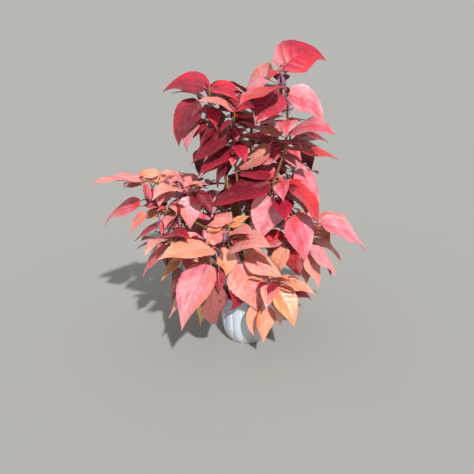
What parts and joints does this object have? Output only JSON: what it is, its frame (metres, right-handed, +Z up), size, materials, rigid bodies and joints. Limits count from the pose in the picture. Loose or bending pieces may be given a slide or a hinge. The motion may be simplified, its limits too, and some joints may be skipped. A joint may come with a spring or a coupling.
{
  "type": "potted copperleaf shrub",
  "caption": "Bushy copperleaf shrub with large drooping red, pink and orange leaves on several stems, in a small fluted round pot filled with soil.",
  "frame": {"origin": "centre of the pot's flat underside", "axes": "+Z up along the pot's axis, -Y towards the side that shows the most foliage, +X to the viewer's right"},
  "size_m": [0.6916, 0.536, 0.7896],
  "materials": {
    "pot": "satin pale blue-grey plastic",
    "soil": "rough dark potting mix",
    "bark": "rough grey-brown bark",
    "green_stem": "smooth olive young bark",
    "leaves_crimson": "satin crimson leaves",
    "leaves_pink": "satin dusky pink leaves",
    "leaves_salmon": "satin salmon and orange leaves"
  },
  "bodies": {
    "root": {"pot": "pot", "soil": "soil", "trunk": "bark", "bough_crown_right": "green_stem", "bough_crown_left": "green_stem", "bough_crown_centre": "green_stem", "bough_left_branch": "green_stem", "bough_left_middle": "green_stem", "bough_left_low": "green_stem", "bough_right_side": "green_stem", "bough_right_low": "green_stem", "bough_front_centre": "green_stem", "bough_front_left": "green_stem", "bough_front_right": "green_stem", "bough_middle": "green_stem", "bough_back_centre": "green_stem", "bough_back_right": "green_stem", "bough_back_left": "green_stem", "bough_low_back": "green_stem", "bough_low_back_right": "green_stem", "bough_low_back_left": "green_stem", "foliage_crown_right": "leaves_crimson", "foliage_crown_left": "leaves_crimson", "foliage_crown_centre": "leaves_crimson", "foliage_left_branch": "leaves_pink", "foliage_left_middle": "leaves_pink", "foliage_left_low": "leaves_salmon", "foliage_right_side": "leaves_pink", "foliage_right_low": "leaves_salmon", "foliage_front_centre": "leaves_salmon", "foliage_front_left": "leaves_salmon", "foliage_front_right": "leaves_salmon", "foliage_middle": "leaves_pink", "foliage_back_centre": "leaves_crimson", "foliage_back_right": "leaves_pink", "foliage_back_left": "leaves_pink", "foliage_low_back": "leaves_salmon", "foliage_low_back_right": "leaves_salmon", "foliage_low_back_left": "leaves_salmon"}
  },
  "joints": []
}
